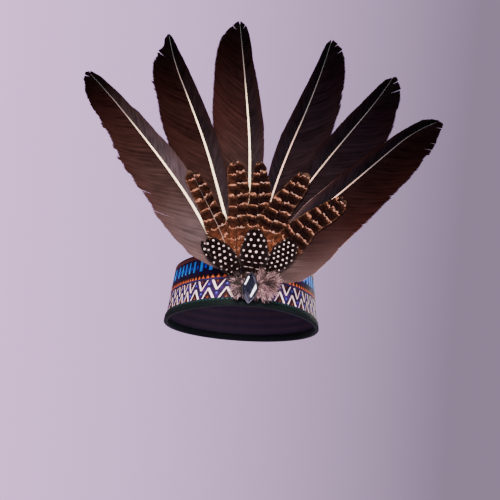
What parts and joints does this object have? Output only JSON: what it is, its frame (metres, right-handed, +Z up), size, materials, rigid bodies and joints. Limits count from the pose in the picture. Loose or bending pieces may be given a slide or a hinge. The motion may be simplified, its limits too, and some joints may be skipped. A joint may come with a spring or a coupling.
{
  "type": "feathered headdress",
  "caption": "Woven ribbon headband with a fan of dark wing feathers, barred and dotted feathers over their roots, tufts of down and a faceted navette stone at the front.",
  "frame": {"origin": "centre of the band's lower rim, where the head enters", "axes": "+X to the viewer's right along the fan's width, the front at -Y, +Z up through the band"},
  "size_m": [0.3495, 0.2037, 0.2866],
  "materials": {
    "ribbon": "woven",
    "binding": "woven",
    "wing_vane": "silky",
    "barred_vane": "silky",
    "dotted_vane": "silky",
    "down": "fluffy",
    "stone": "polished, foil backed",
    "rim_metal": "dull silver"
  },
  "bodies": {
    "root": {"band": "ribbon", "lower_binding": "binding", "wing_feather_1": "wing_vane", "wing_feather_2": "wing_vane", "wing_feather_3": "wing_vane", "wing_feather_4": "wing_vane", "wing_feather_5": "wing_vane", "wing_feather_6": "wing_vane", "barred_feather_1": "barred_vane", "barred_feather_2": "barred_vane", "barred_feather_3": "barred_vane", "barred_feather_4": "barred_vane", "barred_feather_5": "barred_vane", "guinea_feather_1": "dotted_vane", "guinea_feather_2": "dotted_vane", "guinea_feather_3": "dotted_vane", "guinea_feather_4": "dotted_vane", "down_left": "down", "down_right": "down", "gem": "stone", "gem_rim": "rim_metal"}
  },
  "joints": []
}
